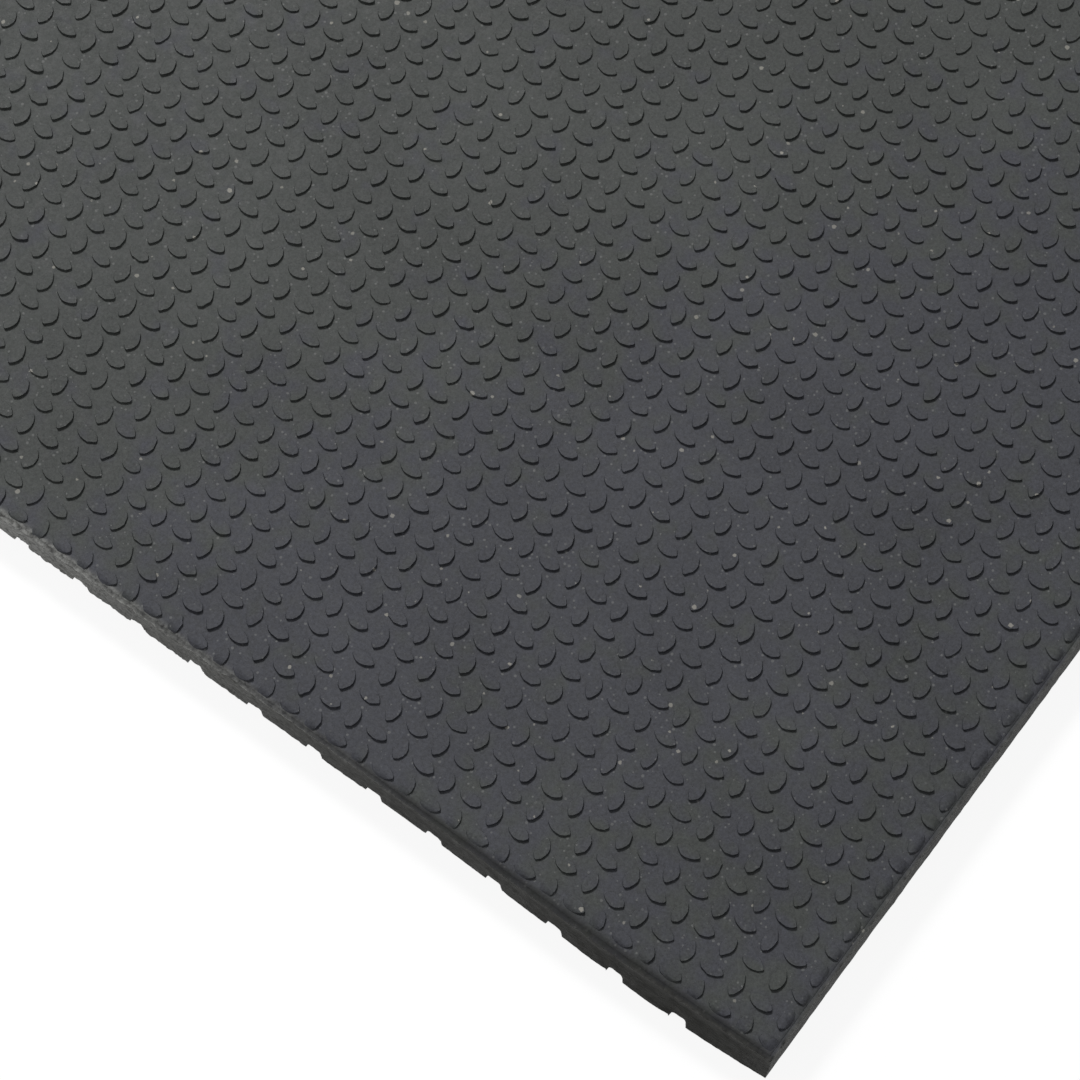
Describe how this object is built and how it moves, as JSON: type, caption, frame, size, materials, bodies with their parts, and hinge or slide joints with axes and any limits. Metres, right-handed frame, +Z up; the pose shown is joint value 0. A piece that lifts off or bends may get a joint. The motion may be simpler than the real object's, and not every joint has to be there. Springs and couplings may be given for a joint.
{
  "type": "rubber stall mat",
  "caption": "Thick one-piece rubber floor mat with raised almond-shaped lugs on top, a stepped and rounded edge, and drainage grooves along its underside.",
  "frame": {"origin": "middle of the underside, on the plane the ribs between the grooves stand on", "axes": "+Y along the length and the grooves, +X across the width, +Z up through the tread"},
  "size_m": [1.2192, 1.8288, 0.018],
  "materials": {
    "rubber": "matt moulded black rubber with a fine grain"
  },
  "bodies": {
    "root": {"stall_mat": "rubber"}
  },
  "joints": []
}
